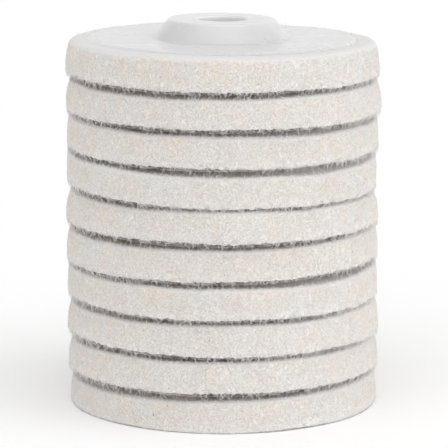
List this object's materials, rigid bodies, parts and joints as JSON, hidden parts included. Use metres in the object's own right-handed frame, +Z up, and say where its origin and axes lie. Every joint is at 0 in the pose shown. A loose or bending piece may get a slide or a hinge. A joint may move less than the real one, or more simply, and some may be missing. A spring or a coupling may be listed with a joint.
{
  "type": "stack of felt polishing wheels",
  "caption": "Upright nested stack of round wool felt polishing wheels, each a thick felt ring glued under a white moulded hub with a raised, bored boss.",
  "frame": {"origin": "centre of the lowest wheel's polishing face, on the hubs' common axis", "axes": "+Z up along the common axis of the hubs, towards the bosses; +X to the right and -Y towards the viewer of the front"},
  "size_m": [0.1012, 0.1011, 0.1236],
  "materials": {
    "wool_felt": "pressed wool felt, off-white, slightly mottled and hairy",
    "set_adhesive": "set contact adhesive, cream",
    "moulded_plastic": "satin moulded white plastic"
  },
  "bodies": {
    "wheel_01": {"felt_ring_01": "wool_felt", "adhesive_film_01": "set_adhesive", "backing_hub_01": "moulded_plastic"},
    "wheel_02": {"felt_ring_02": "wool_felt", "adhesive_film_02": "set_adhesive", "backing_hub_02": "moulded_plastic"},
    "wheel_03": {"felt_ring_03": "wool_felt", "adhesive_film_03": "set_adhesive", "backing_hub_03": "moulded_plastic"},
    "wheel_04": {"felt_ring_04": "wool_felt", "adhesive_film_04": "set_adhesive", "backing_hub_04": "moulded_plastic"},
    "wheel_05": {"felt_ring_05": "wool_felt", "adhesive_film_05": "set_adhesive", "backing_hub_05": "moulded_plastic"},
    "wheel_06": {"felt_ring_06": "wool_felt", "adhesive_film_06": "set_adhesive", "backing_hub_06": "moulded_plastic"},
    "wheel_07": {"felt_ring_07": "wool_felt", "adhesive_film_07": "set_adhesive", "backing_hub_07": "moulded_plastic"},
    "wheel_08": {"felt_ring_08": "wool_felt", "adhesive_film_08": "set_adhesive", "backing_hub_08": "moulded_plastic"},
    "wheel_09": {"felt_ring_09": "wool_felt", "adhesive_film_09": "set_adhesive", "backing_hub_09": "moulded_plastic"},
    "wheel_10": {"felt_ring_10": "wool_felt", "adhesive_film_10": "set_adhesive", "backing_hub_10": "moulded_plastic"}
  },
  "joints": [
    {"name": "wheel_02_lift", "type": "slide", "parent": "wheel_01", "child": "wheel_02", "axis": [0, 0, 1], "range_m": [0, 0.02]},
    {"name": "wheel_03_lift", "type": "slide", "parent": "wheel_02", "child": "wheel_03", "axis": [0, 0, 1], "range_m": [0, 0.02]},
    {"name": "wheel_04_lift", "type": "slide", "parent": "wheel_03", "child": "wheel_04", "axis": [0, 0, 1], "range_m": [0, 0.02]},
    {"name": "wheel_05_lift", "type": "slide", "parent": "wheel_04", "child": "wheel_05", "axis": [0, 0, 1], "range_m": [0, 0.02]},
    {"name": "wheel_06_lift", "type": "slide", "parent": "wheel_05", "child": "wheel_06", "axis": [0, 0, 1], "range_m": [0, 0.02]},
    {"name": "wheel_07_lift", "type": "slide", "parent": "wheel_06", "child": "wheel_07", "axis": [0, 0, 1], "range_m": [0, 0.02]},
    {"name": "wheel_08_lift", "type": "slide", "parent": "wheel_07", "child": "wheel_08", "axis": [0, 0, 1], "range_m": [0, 0.02]},
    {"name": "wheel_09_lift", "type": "slide", "parent": "wheel_08", "child": "wheel_09", "axis": [0, 0, 1], "range_m": [0, 0.02]},
    {"name": "wheel_10_lift", "type": "slide", "parent": "wheel_09", "child": "wheel_10", "axis": [0, 0, 1], "range_m": [0, 0.02]}
  ]
}
